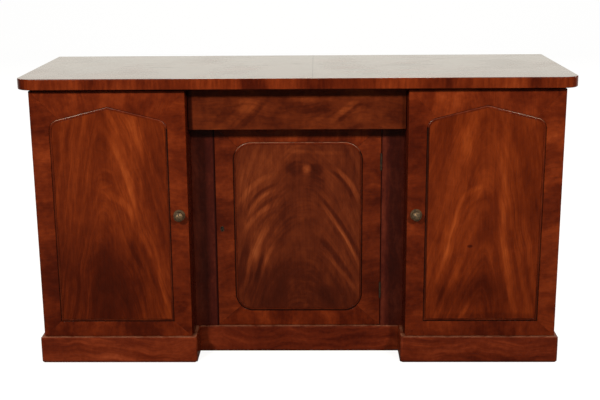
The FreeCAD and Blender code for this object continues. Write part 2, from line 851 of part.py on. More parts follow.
# A knob turned with its neck and spindle, seen here from above with the door's face at 0
def build_left_knob():
    body = doc.addObject("PartDesign::Body", "left_knob_body")
    sketch = body.newObject("Sketcher::SketchObject", "left_knob_profile")
    plane = [feature for feature in body.Origin.OriginFeatures if feature.Role == "XY_Plane"][0]
    sketch.AttachmentSupport = [(plane, "")]
    sketch.MapMode = "FlatFace"
    end = size.doorThickness + size.tongueSetback + size.tongueThickness
    tip = -size.knobLength
    rim_front = tip + size.knobDome
    rim_back = rim_front + size.knobRim
    neck_end = rim_back + size.knobFlare
    dome = (size.knobRadius * size.knobRadius + size.knobDome * size.knobDome) / (size.knobDome * 2)
    draw_loop(sketch, [
        (ZERO, end),
        (size.spindleRadius, end),
        (size.spindleRadius, ZERO),
        (size.neckRadius, ZERO),
        (size.neckRadius, neck_end),
        (size.knobRadius, rim_back),
        (size.knobRadius, rim_front, dome, -1),
        (ZERO, tip),
    ])
    turned = body.newObject("PartDesign::Revolution", "left_knob_turned")
    turned.Profile = sketch
    turned.ReferenceAxis = (sketch, ["V_Axis"])
    turned.Angle = 360
    for axis, place in (("x", -knob_x), ("y", door_face), ("z", knob_z)):
        body.setExpression(f"Placement.Base.{axis}", place.text)
    half = size.tongueWidth / 2
    plate = board(
        "left_tongue_plate", (-knob_x - half, -knob_x + half), (tongue_front, tongue_back),
        (knob_z - size.tongueReach, knob_z + half))
    hole = rod(
        "left_tongue_hole", (-knob_x, tongue_front, knob_z), "y", size.spindleRadius + size.screwFit,
        size.tongueThickness)
    return {"knob": body, "catch_tongue": cut("left_catch_tongue", plate, [hole])}


# The centre door, with its round-cornered opening, lock and keyhole
def build_centre_door(hinges):
    edge = centre_door_edge
    left = -edge + size.centreStileWidth
    right = -left
    foot = door_foot + size.centreRailWidth
    head = centre_door_head - size.centreRailWidth
    round_radius = size.centreCornerRadius
    halfway = round_radius - round_radius / TWO_ROOT

    def opening(inset):
        low, high, side, radius = foot + inset, head - inset, right - inset, round_radius - inset
        return [
            (-side + radius, low),
            (side - radius, low, radius, 1),
            (side, low + radius),
            (side, high - radius, radius, 1),
            (side - radius, high),
            (-side + radius, high, radius, 1),
            (-side, high - radius),
            (-side, low + radius, radius, 1),
        ]

    def stile(way):
        inside = right * way
        corners = [
            (edge * way, door_foot),
            (edge * way, centre_door_head),
            ((right - halfway) * way, head - halfway, round_radius, -way),
            (inside, head - round_radius),
            (inside, foot + round_radius, round_radius, -way),
            ((right - halfway) * way, foot + halfway),
        ]
        return corners

    def rail(end, inner, way):
        return [
            (-edge, end),
            (-right + halfway, inner + halfway * way, round_radius, way),
            (-right + round_radius, inner),
            (right - round_radius, inner, round_radius, way),
            (right - halfway, inner + halfway * way),
            (edge, end),
        ]

    thick = size.doorThickness
    back = recess_door_back
    panel_front = recess_face + size.panelSink
    panel_along = (panel_front, panel_front + size.panelThickness)
    reach = size.panelTongue
    loose = size.panelTongue + size.panelPlay
    panel = fielded_panel(
        "centre_door_panel", (left - reach, right + reach), panel_along, (foot - reach, head + reach),
        opening(size.beadWidth + size.fieldPlay))
    groove = board(
        "centre_door_groove", (left - loose, right + loose), panel_along, (foot - loose, head + loose))

    bolt_z = keyhole_z + size.boltRise
    bolt_y = back - size.lockCaseThickness / 2
    case_half = size.lockCaseHeight / 2
    case = board(
        "lock_case_block", (-edge, -edge + size.lockCaseWidth), (back - size.lockCaseThickness, back),
        (keyhole_z - case_half, keyhole_z + case_half))
    fit = size.boltFit
    half_wide = size.boltWidth / 2
    half_thick = size.boltThickness / 2
    bolt = board(
        "lock_bolt", (-edge, -edge + size.boltLength), (bolt_y - half_thick, bolt_y + half_thick),
        (bolt_z - half_wide, bolt_z + half_wide))
    channel = board(
        "bolt_channel", (-edge, -edge + size.boltLength + fit),
        (bolt_y - half_thick - fit, bolt_y + half_thick + fit),
        (bolt_z - half_wide - fit, bolt_z + half_wide + fit))
    key_way = (recess_face - size.plateThickness, bolt_y)
    key_depth = key_way[1] - key_way[0]
    keyhole = rod("keyhole_round", (-keyhole_x, key_way[0], keyhole_z), "y", size.keyholeRadius, key_depth)
    slot_half = size.keyholeSlotWidth / 2
    key_slot = board(
        "keyhole_slot", (-keyhole_x - slot_half, -keyhole_x + slot_half), key_way,
        (keyhole_z - size.keyholeSlotDrop, keyhole_z))
    plate_radius = size.plateRadius
    plate_low = keyhole_z - size.plateDrop + plate_radius
    plate_corners = [
        (-keyhole_x, plate_low - plate_radius, plate_radius, 1),
        (-keyhole_x + plate_radius, plate_low),
        (-keyhole_x + plate_radius, keyhole_z, plate_radius, 1),
        (-keyhole_x, keyhole_z + plate_radius, plate_radius, 1),
        (-keyhole_x - plate_radius, keyhole_z),
        (-keyhole_x - plate_radius, plate_low, plate_radius, 1),
    ]
    plate = padded("escutcheon_plate", "XZ_Plane", [plate_corners], size.plateThickness, recess_face)
    left_stile = padded("centre_door_left", "XZ_Plane", [stile(-1)], thick, back)
    right_stile = padded("centre_door_right", "XZ_Plane", [stile(1)], thick, back)
    bottom_rail = padded("centre_door_bottom", "XZ_Plane", [rail(door_foot, foot, 1)], thick, back)
    top_rail = padded("centre_door_top", "XZ_Plane", [rail(centre_door_head, head, -1)], thick, back)
    stiles = [
        cut("centre_door_left_stile", left_stile, [groove, case, keyhole, key_slot]),
        cut("centre_door_right_stile", right_stile, [groove] + hinges.door_cutters),
    ]
    rails = [
        cut("centre_door_bottom_rail", bottom_rail, [groove]),
        cut("centre_door_top_rail", top_rail, [groove]),
    ]
    keep("centre_door_stiles", group("centre_door_stiles", stiles))
    keep("centre_door_rails", group("centre_door_rails", rails))
    keep("centre_door_panel", panel)
    keep("centre_door_bead", rounded_bead(
        "centre_door_bead", opening(ZERO), opening(size.beadWidth), panel_front))
    keep("centre_door_leaves", group("centre_door_leaves", hinges.door_leaves))
    keep("centre_door_screws", group("centre_door_screws", hinges.door_screws))
    keep("keyhole_plate", cut("keyhole_plate", plate, [keyhole, key_slot]))
    keep("lock_case", cut("lock_case", case, [channel, keyhole, key_slot]))
    keep("lock_bolt", bolt)


# The drawer, pulled by the groove behind the lower edge of its front
def build_drawer():
    face = door_face + size.drawerRecess
    front_back = face + size.drawerFrontThickness
    end = board_back - size.drawerBackGap
    half = inner_face - size.drawerSideGap
    lining = half - size.drawerSideThickness
    top = drawer_foot + size.drawerSideHeight
    bottom_foot = drawer_foot + size.drawerBottomRise
    bottom_top = bottom_foot + size.drawerBottomThickness
    finger_half = size.fingerWidth / 2
    groove = board(
        "finger_groove", (-finger_half, finger_half), (front_back - size.fingerDepth, front_back),
        (drawer_foot, drawer_foot + size.fingerHeight))
    front = board("drawer_front_board", (-half, half), (face, front_back), (drawer_foot, door_head))
    keep("drawer_front", cut("drawer_front", front, [groove]))
    side = board("left_drawer_side", (-half, -lining), (front_back, end), (drawer_foot, top))
    keep("drawer_sides", pair("drawer_sides", side))
    keep("drawer_back", board(
        "drawer_back", (-lining, lining), (end - size.drawerSideThickness, end), (bottom_top, top)))
    keep("drawer_bottom", board(
        "drawer_bottom", (-lining, lining), (front_back, end), (bottom_foot, bottom_top)))


# No sub-part may be broken when its file is written
def check_document():
    for item in doc.Objects:
        if "Invalid" in item.State or "Error" in item.State:
            raise RuntimeError(f"{item.Label} did not build: {item.State}")
    for piece in nodes:
        if piece.Shape.isNull() or not piece.Shape.isValid():
            raise RuntimeError(f"{piece.Label} has no valid shape")


def main():
    side_hinges = pedestal_hinges()
    door_hinges = centre_hinges()
    build_rails_and_top()
    build_carcase(side_hinges)
    build_centre_frame(door_hinges)
    build_plinth()
    left_door = build_left_door(side_hinges)
    left_door.update(build_left_knob())
    for name, piece in left_door.items():
        keep(f"left_{name}", piece)
        keep(f"right_{name}", mirrored(f"right_{name}", piece))
    build_centre_door(door_hinges)
    build_drawer()

    def both_sides(pieces):
        return pieces + [mirrored(f"{piece.Name}_twin", piece) for piece in pieces]

    keep("pedestal_frame_leaves", group("pedestal_frame_leaves", both_sides(side_hinges.frame_leaves)))
    keep("centre_frame_leaves", group("centre_frame_leaves", door_hinges.frame_leaves))
    keep("hinge_pins", group("hinge_pins", both_sides(side_hinges.pins) + door_hinges.pins))
    frame_screws = both_sides(side_hinges.frame_screws) + door_hinges.frame_screws
    keep("frame_hinge_screws", group("frame_hinge_screws", frame_screws))

    doc.recompute()
    check_document()
    os.makedirs("parts", exist_ok=True)
    for piece in nodes:
        piece.Shape.exportStep(f"parts/{piece.Label}.step")
    print(len(nodes), "sub-parts,", sum(len(piece.Shape.Solids) for piece in nodes), "solids")


main()
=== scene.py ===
import json
import math
import bmesh
import bpy
from mathutils import Matrix, Vector

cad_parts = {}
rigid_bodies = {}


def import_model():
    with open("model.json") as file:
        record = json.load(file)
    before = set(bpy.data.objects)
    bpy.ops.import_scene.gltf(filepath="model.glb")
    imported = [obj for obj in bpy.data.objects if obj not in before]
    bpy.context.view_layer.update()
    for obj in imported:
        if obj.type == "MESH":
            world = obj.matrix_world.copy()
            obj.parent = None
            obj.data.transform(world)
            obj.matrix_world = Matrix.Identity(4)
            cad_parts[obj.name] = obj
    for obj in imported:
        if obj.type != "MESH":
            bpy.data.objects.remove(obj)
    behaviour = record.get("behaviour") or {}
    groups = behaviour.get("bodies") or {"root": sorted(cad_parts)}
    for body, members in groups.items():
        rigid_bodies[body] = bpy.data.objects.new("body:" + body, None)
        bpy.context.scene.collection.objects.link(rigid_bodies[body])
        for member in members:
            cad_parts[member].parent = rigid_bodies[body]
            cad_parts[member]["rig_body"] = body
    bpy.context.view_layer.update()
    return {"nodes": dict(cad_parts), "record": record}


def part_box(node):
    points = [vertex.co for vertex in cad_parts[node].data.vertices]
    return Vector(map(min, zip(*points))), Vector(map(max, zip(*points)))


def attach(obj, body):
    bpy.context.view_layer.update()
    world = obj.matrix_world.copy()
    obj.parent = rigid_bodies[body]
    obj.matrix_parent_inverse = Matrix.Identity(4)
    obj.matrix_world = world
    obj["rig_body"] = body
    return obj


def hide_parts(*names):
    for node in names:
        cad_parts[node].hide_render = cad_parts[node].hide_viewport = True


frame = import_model()
mm = 0.001
print("frame loaded:", len(frame["nodes"]), "nodes")


# Shader maths: a wire stands for one output socket, and an expression on it adds Math nodes
class Wire:
    def __init__(self, tree, socket):
        self.tree = tree
        self.socket = socket

    def math(self, operation, *others, clamp=False):
        settings = {"operation": operation, "use_clamp": clamp}
        return self.tree.add("ShaderNodeMath", settings, dict(enumerate((self, *others))))

    def __add__(self, other):
        return self.math("ADD", other)

    def __sub__(self, other):
        return self.math("SUBTRACT", other)

    def __mul__(self, other):
        return self.math("MULTIPLY", other)

    def __truediv__(self, other):
        return self.math("DIVIDE", other)

    def __pow__(self, other):
        return self.math("POWER", other)

    def __neg__(self):
        return self.math("MULTIPLY", -1.0)

    def __rsub__(self, other):
        return (-self) + other

    __radd__ = __add__
    __rmul__ = __mul__

    def size(self):
        return self.math("ABSOLUTE")

    def clamped(self):
        return self.math("ADD", 0.0, clamp=True)


# The node tree of a new material or world, with a single way to add any node
class Tree:
    def __init__(self, name, kind=bpy.data.materials):
        self.owner = kind.new(name)
        self.owner.use_nodes = True
        self.nodes = self.owner.node_tree.nodes
        self.links = self.owner.node_tree.links
        self.nodes.clear()

    def add(self, kind, settings=None, inputs=None, output=0):
        node = self.nodes.new(kind)
        for key, value in (settings or {}).items():
            if key == "stops":
                self.setStops(node.color_ramp, value)
            else:
                setattr(node, key, value)
        for key, value in (inputs or {}).items():
            if isinstance(value, Wire):
                self.links.new(value.socket, node.inputs[key])
            elif node.inputs[key].type == "RGBA":
                node.inputs[key].default_value = (*value, 1.0)
            else:
                node.inputs[key].default_value = value
        return Wire(self, node.outputs[output]) if len(node.outputs) else node

    def setStops(self, ramp, stops):
        while len(ramp.elements) < len(stops):
            ramp.elements.new(0.5)
        for element, (place, color) in zip(ramp.elements, stops):
            element.position = place
            element.color = (*color, 1.0)

    def place(self):
        return self.add("ShaderNodeTexCoord", output="Object")

    def split(self, vector):
        node = self.nodes.new("ShaderNodeSeparateXYZ")
        self.links.new(vector.socket, node.inputs[0])
        return [Wire(self, socket) for socket in node.outputs]

    def join(self, x, y, z):
        return self.add("ShaderNodeCombineXYZ", inputs={0: x, 1: y, 2: z})

    def noise(self, x, y, z, detail=4.0, roughness=0.55):
        return self.add("ShaderNodeTexNoise", inputs={
            "Vector": self.join(x, y, z), "Scale": 1.0, "Detail": detail, "Roughness": roughness})

    def ramp(self, factor, stops):
        return self.add("ShaderNodeValToRGB", {"stops": stops}, {0: factor})

    # A smooth step from 0 at low to 1 at high
    def step(self, value, low, high):
        return self.add(
            "ShaderNodeMapRange", {"interpolation_type": "SMOOTHSTEP"},
            {"Value": value, "From Min": low, "From Max": high})

    def mixColor(self, factor, first, second):
        colors = {0: factor, 6: first, 7: second}
        return self.add("ShaderNodeMix", {"data_type": "RGBA"}, colors, output=2)

    # The value that a mesh carries for its vertices under this name
    def mark(self, name):
        return self.add("ShaderNodeAttribute", {"attribute_name": name}, output="Fac")

    def bump(self, height, strength, distance):
        return self.add("ShaderNodeBump", inputs={
            "Height": height, "Strength": strength, "Distance": distance})

    def surface(self, inputs):
        shader = self.add("ShaderNodeBsdfPrincipled", inputs=inputs)
        self.add("ShaderNodeOutputMaterial", inputs={"Surface": shader})
        return self.owner


# Camera: the photograph's viewpoint, in metres and radians
photoCamera = {
    "place": (0.0628, -3.4511, 1.3452),
    "yaw": -0.0172,
    "pitch": 0.2501,
    "roll": -0.0073,
    "focal": 64.17,
    "sensor": 36.0,
}


def makeCamera():
    yaw, pitch, roll = (photoCamera[key] for key in ("yaw", "pitch", "roll"))
    ahead = Vector((math.sin(yaw) * math.cos(pitch), math.cos(yaw) * math.cos(pitch), -math.sin(pitch)))
    right = Vector((math.cos(yaw), -math.sin(yaw), 0.0))
    up = right.cross(ahead)
    turnedRight = right * math.cos(roll) + up * math.sin(roll)
    turnedUp = up * math.cos(roll) - right * math.sin(roll)
    data = bpy.data.cameras.new("camera")
    data.sensor_width = photoCamera["sensor"]
    data.lens = photoCamera["focal"]
    camera = bpy.data.objects.new("camera", data)
    turn = Matrix((turnedRight, turnedUp, -ahead)).transposed().to_4x4()
    camera.matrix_world = Matrix.Translation(photoCamera["place"]) @ turn
    bpy.context.scene.collection.objects.link(camera)
    bpy.context.scene.camera = camera


makeCamera()
print("camera placed")


# Studio: a white sweep behind the object and soft lamps; places in metres, power in watts
studio = {
    "floorHalfWidth": 9.0,
    "floorFront": -9.0,
    "floorBack": 10.0,
    "sweepRadius": 2.0,
    "wallHeight": 7.0,
    "sweepSteps": 24,
    "paper": (0.20, 0.20, 0.20),
    "floorGlow": (0.89, 0.89, 0.89),
    "wallGlow": (0.96, 0.96, 0.96),
    "wallFrom": (0.6, 3.2),
    "wallShine": (0.87, 0.875, 0.79),
    "ambient": (0.016, 0.016, 0.016),
    "aim": (0.0, -0.1, 0.45),
    "lampColor": (1.0, 0.94, 0.77),
    "lamps": {
        "leftLamp": {"place": (-2.1, -3.7, 2.8), "size": (0.42, 0.42), "power": 175.0},
        "rightLamp": {"place": (2.1, -3.7, 2.8), "size": (0.40, 0.40), "power": 130.0},
        "frontLamp": {"place": (0.1, -3.9, 2.6), "size": (1.2, 0.3), "power": 13.0},
        "leftSideLamp": {"place": (-4.6, 0.8, 2.6), "size": (0.9, 0.9), "power": 120.0},
        "rightSideLamp": {"place": (4.6, 0.8, 2.6), "size": (0.9, 0.9), "power": 120.0},
        "backLamp": {"place": (0.0, 4.2, 5.2), "size": (2.4, 1.6), "power": 170.0},
    },
}


# The camera sees glowing paper, and polished tops reflect the wall alone
def paperMaterial():
    tree = Tree("studio_paper")
    _, depth, _ = tree.split(tree.place())
    camera = tree.add("ShaderNodeLightPath", output="Is Camera Ray")
    glossy = tree.add("ShaderNodeLightPath", output="Is Glossy Ray")
    farOff = tree.step(depth, *studio["wallFrom"])
    seen = tree.mixColor(farOff, studio["floorGlow"], studio["wallGlow"])
    mirrored = tree.mixColor(glossy * farOff, (0.0, 0.0, 0.0), studio["wallShine"])
    return tree.surface({
        "Base Color": studio["paper"], "Roughness": 0.9, "Specular IOR Level": 0.0,
        "Emission Color": tree.mixColor(camera, mirrored, seen), "Emission Strength": 1.0})


def makeStudio():
    sheet = bmesh.new()
    half = studio["floorHalfWidth"]
    radius = studio["sweepRadius"]
    back = studio["floorBack"]
    corner = sheet.verts.new((-half, studio["floorFront"], 0.0))
    foot = sheet.verts.new((-half, back - radius, 0.0))
    first = sheet.edges.new((corner, foot))
    turned = bmesh.ops.spin(
        sheet, geom=[foot], cent=(-half, back - radius, radius), axis=(1.0, 0.0, 0.0),
        angle=math.pi / 2, steps=studio["sweepSteps"])
    top = sheet.verts.new((-half, back, studio["wallHeight"]))
    sheet.edges.new((turned["geom_last"][0], top))
    edges = [first] + [edge for edge in sheet.edges if edge != first]
    wide = bmesh.ops.extrude_edge_only(sheet, edges=edges)
    moved = [item for item in wide["geom"] if isinstance(item, bmesh.types.BMVert)]
    bmesh.ops.translate(sheet, verts=moved, vec=(half * 2, 0.0, 0.0))
    bmesh.ops.recalc_face_normals(sheet, faces=sheet.faces)
    mesh = bpy.data.meshes.new("studio_sweep")
    sheet.to_mesh(mesh)
    sheet.free()
    mesh.shade_smooth()
    mesh.materials.append(paperMaterial())
    sweep = bpy.data.objects.new("studio_sweep", mesh)
    bpy.context.scene.collection.objects.link(sweep)
    for name, lamp in studio["lamps"].items():
        light = bpy.data.lights.new(name, "AREA")
        light.shape = "RECTANGLE"
        light.size, light.size_y = lamp["size"]
        light.energy = lamp["power"]
        light.color = studio["lampColor"]
        holder = bpy.data.objects.new(name, light)
        holder.location = lamp["place"]
        ahead = Vector(studio["aim"]) - holder.location
        holder.rotation_euler = ahead.to_track_quat("-Z", "Y").to_euler()
        bpy.context.scene.collection.objects.link(holder)
    air = Tree("studio_air", bpy.data.worlds)
    camera = air.add("ShaderNodeLightPath", output="Is Camera Ray")
    color = air.mixColor(camera, studio["ambient"], studio["wallGlow"])
    shader = air.add("ShaderNodeBackground", inputs={"Color": color})
    air.add("ShaderNodeOutputWorld", inputs={"Surface": shader})
    bpy.context.scene.world = air.owner
    bpy.context.scene.view_settings.view_transform = "Standard"


makeStudio()
print("studio lit")


# Eased edges: how wide each kind of piece is eased, and the angles that tell edges from curves
easing = {
    "panel": 0.5 * mm,
    "bead": 0.4 * mm,
    "frame": 1.0 * mm,
    "plinth": 1.0 * mm,
    "top": 1.2 * mm,
    "centreStiles": 2.2 * mm,
    "board": 0.8 * mm,
    "inside": 0.5 * mm,
    "segments": 2,
    "mergeWithin": 0.01 * mm,
    "flatTo": math.radians(0.5),
    "sharpFrom": math.radians(40),
    "smoothTo": math.radians(35),
}


# A node's mesh copied, merged and given soft edges, which stands for the node. Wear shapes it
# first. Marks are values that its vertices carry, each worked out by a function of the vertex.
def softened(node, material, kind, marks=None, wear=None):
    source = frame["nodes"][node]
    work = bmesh.new()
    work.from_mesh(source.data)
    bmesh.ops.remove_doubles(work, verts=work.verts, dist=easing["mergeWithin"])
    bmesh.ops.dissolve_limit(
        work, angle_limit=easing["flatTo"], use_dissolve_boundaries=False, verts=work.verts,
        edges=work.edges)
    if wear:
        wear(work)
    sharp = [
        edge for edge in work.edges
        if len(edge.link_faces) == 2 and edge.calc_face_angle() > easing["sharpFrom"]]
    bmesh.ops.bevel(
        work, geom=sharp, offset=easing[kind], offset_type="OFFSET", affect="EDGES",
        segments=easing["segments"], profile=0.5, material=-1, clamp_overlap=True)
    work.normal_update()
    for name, mark in (marks or {}).items():
        layer = work.verts.layers.float.new(name)
        for vertex in work.verts:
            vertex[layer] = mark(vertex)
    mesh = bpy.data.meshes.new(f"{node}_eased")
    work.to_mesh(mesh)
    work.free()
    mesh.shade_smooth()
    mesh.set_sharp_from_angle(angle=easing["smoothTo"])
    mesh.materials.clear()
    mesh.materials.append(material)
    piece = bpy.data.objects.new(f"{node}_eased", mesh)
    bpy.context.scene.collection.objects.link(piece)
    weigh = piece.modifiers.new("weighted normals", "WEIGHTED_NORMAL")
    weigh.keep_sharp = True
    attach(piece, source["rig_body"])
    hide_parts(node)
    return piece


def dress(node, material):
    mesh = frame["nodes"][node].data
    mesh.materials.clear()
    mesh.materials.append(material)


def slotOf(node):
    parts = frame["record"]["subparts"]
    return next(part["material_slot"] for part in parts if part["node"] == node)


# Adds soft oval patches: x, z, half width, half height, amount. They fade out past their edge.
def patchwork(tree, x, z, patches, total=0.0):
    fade = 1.6
    for placeX, placeZ, wide, high, amount in patches:
        offX = (x - placeX) / (wide * fade)
        offZ = (z - placeZ) / (high * fade)
        total = tree.step(offX * offX + offZ * offZ, 1.0, 0.0) * amount + total
    return total


# Adds soft lines: from, to, half width, amount, and the bow that bends a line left of its run
def linework(tree, x, z, lines, total=0.0):
    for start, end, wide, amount, bow in lines:
        runX, runZ = end[0] - start[0], end[1] - start[1]
        length = math.hypot(runX, runZ)
        offX, offZ = x - start[0], z - start[1]
        along = offX * (runX / length ** 2) + offZ * (runZ / length ** 2)
        aside = offZ * (runX / length) - offX * (runZ / length)
        if bow:
            aside = aside - (along - along * along) * (bow * 4.0)
        ends = tree.step(along, -0.2, 0.25) * tree.step(along, 1.2, 0.75)
        total = tree.step(aside * aside, wide * wide * 2.0, 0.0) * ends * amount + total
    return total


# Mahogany: colours from the dark streaks to the bright ones, as linear values
mahogany = {
    "deep": (0.026, 0.0028, 0.0010),
    "dark": (0.052, 0.0056, 0.0015),
    "middle": (0.100, 0.0126, 0.0028),
    "bright": (0.168, 0.0248, 0.0053),
    "glow": (0.280, 0.0520, 0.0125),
    # Painted shade: the near-black laid where shadow falls in hollows, gaps and along the plinth's foot
    "hollow": (0.006, 0.0010, 0.0005),
    # Painted highlight: the pale tone laid where lamps catch the bead rounds and the plinth's flat tops
    "worn": (0.30, 0.125, 0.075),
    "places": (0.0, 0.28, 0.5, 0.72, 1.0),
    "roughness": 0.27,
    "specular": 0.09,
    "coatRoughness": 0.12,
    "pores": (0.60, 0.70),
    "poreDepth": 0.35,
    "grain": 0.20,
    "relief": 0.5 * mm,
}


# Polished wood from a value that runs from dark to bright, with pores along the grain.
# Its finish may name a tint, marks for painted shade in hollows and gaps, for painted highlights on edges,
# and for gloss, and a haze on the gloss.
def polished(tree, value, across, along, depth, finish):
    tint = finish.get("tint", (1.0, 1.0, 1.0))
    names = ("deep", "dark", "middle", "bright", "glow")
    stops = [
        (place, tuple(channel * share for channel, share in zip(mahogany[name], tint)))
        for place, name in zip(mahogany["places"], names)]
    hair = tree.noise(across * 900.0, depth * 900.0, along * 22.0, detail=2.0)
    pores = tree.step(hair, *mahogany["pores"])
    grain = tree.noise(across * 260.0, depth * 260.0, along * 9.0, detail=3.0)
    color = tree.ramp((value + (grain - 0.5) * mahogany["grain"]).clamped(), stops)
    color = tree.mixColor(pores * mahogany["poreDepth"], color, stops[0][1])
    sheen = tree.noise(across * 6.0, depth * 6.0, along * 6.0, detail=3.0)
    roughness = (sheen - 0.5) * 0.12 + pores * 0.05 + mahogany["roughness"]
    waves = tree.noise(across * 14.0, depth * 14.0, along * 5.0, detail=1.0)
    relief = tree.bump(waves - pores * 0.05, 0.08, mahogany["relief"])
    coat = tree.mark("gloss") * finish["gloss"] if "gloss" in finish else 0.0
    # Painted highlight, broken into patches by noise, and rougher where it lies
    if "worn" in finish:
        highlightBreakup = tree.noise(across * 40.0, depth * 40.0, along * 40.0, detail=4.0)
        paintedHighlightMask = tree.mark("worn") * tree.step(highlightBreakup, 0.25, 0.6)
        color = tree.mixColor(paintedHighlightMask * finish["worn"], color, mahogany["worn"])
        roughness = roughness + paintedHighlightMask * 0.3
    # Painted shade: the marked places darken towards near-black
    if "hollow" in finish:
        color = tree.mixColor(tree.mark("hollow") * finish["hollow"], color, mahogany["hollow"])
    if "haze" in finish:
        coat = coat * (1.0 - finish["haze"] - (sheen - 0.4).size() * 0.35)
    return tree.surface({
        "Base Color": color, "Roughness": roughness, "Normal": relief,
        "Specular IOR Level": mahogany["specular"], "Coat Weight": coat,
        "Coat Roughness": finish.get("coatRoughness", mahogany["coatRoughness"])})


# The coordinates across, along and through a board whose grain runs along an axis
def grainPlaces(tree, grainAxis):
    x, y, z = tree.split(tree.place())
    return {"X": (z, x, y), "Y": (x, y, z), "Z": (x, z, y)}[grainAxis], (x, y, z)


# Plain or crossbanded mahogany. Its figure is longer with run, and a painted falloff of light makes it
# brighter upwards.
def bandedMahogany(
        name, grainAxis, seed, blotch=1.0, streaks=0.4, run=1.0, level=0.5, paintedFalloff=0.0,
        patches=(), lines=(), **finish):
    tree = Tree(name)
    (across, along, depth), (x, y, z) = grainPlaces(tree, grainAxis)
    bent = tree.noise(across * 5.0 + seed, depth * 5.0, along * 5.0, detail=2.0)
    shifted = across + (bent - 0.5) * 0.10
    broad = tree.noise(shifted * 13.0 + seed, depth * 13.0, along * (9.0 / run), detail=3.0)
    streak = tree.noise(shifted * 60.0 + seed, depth * 60.0, along * (12.0 / run), detail=3.0)
    mottle = tree.noise(x * 85.0 + seed, y * 85.0, z * 85.0, detail=3.0)
    value = (broad - 0.5) * blotch + (streak - 0.5) * streaks + (mottle - 0.5) * 0.3 + level
    # Painted light: darker towards the floor, brighter towards the top
    if paintedFalloff:
        value = (z - 0.85) * paintedFalloff + value
    if patches or lines:
        drawn = patchwork(tree, x, z, patches, linework(tree, x, z, lines))
        value = (streak * 0.8 + 0.6) * drawn + value
    return polished(tree, value, shifted, along, depth, finish)


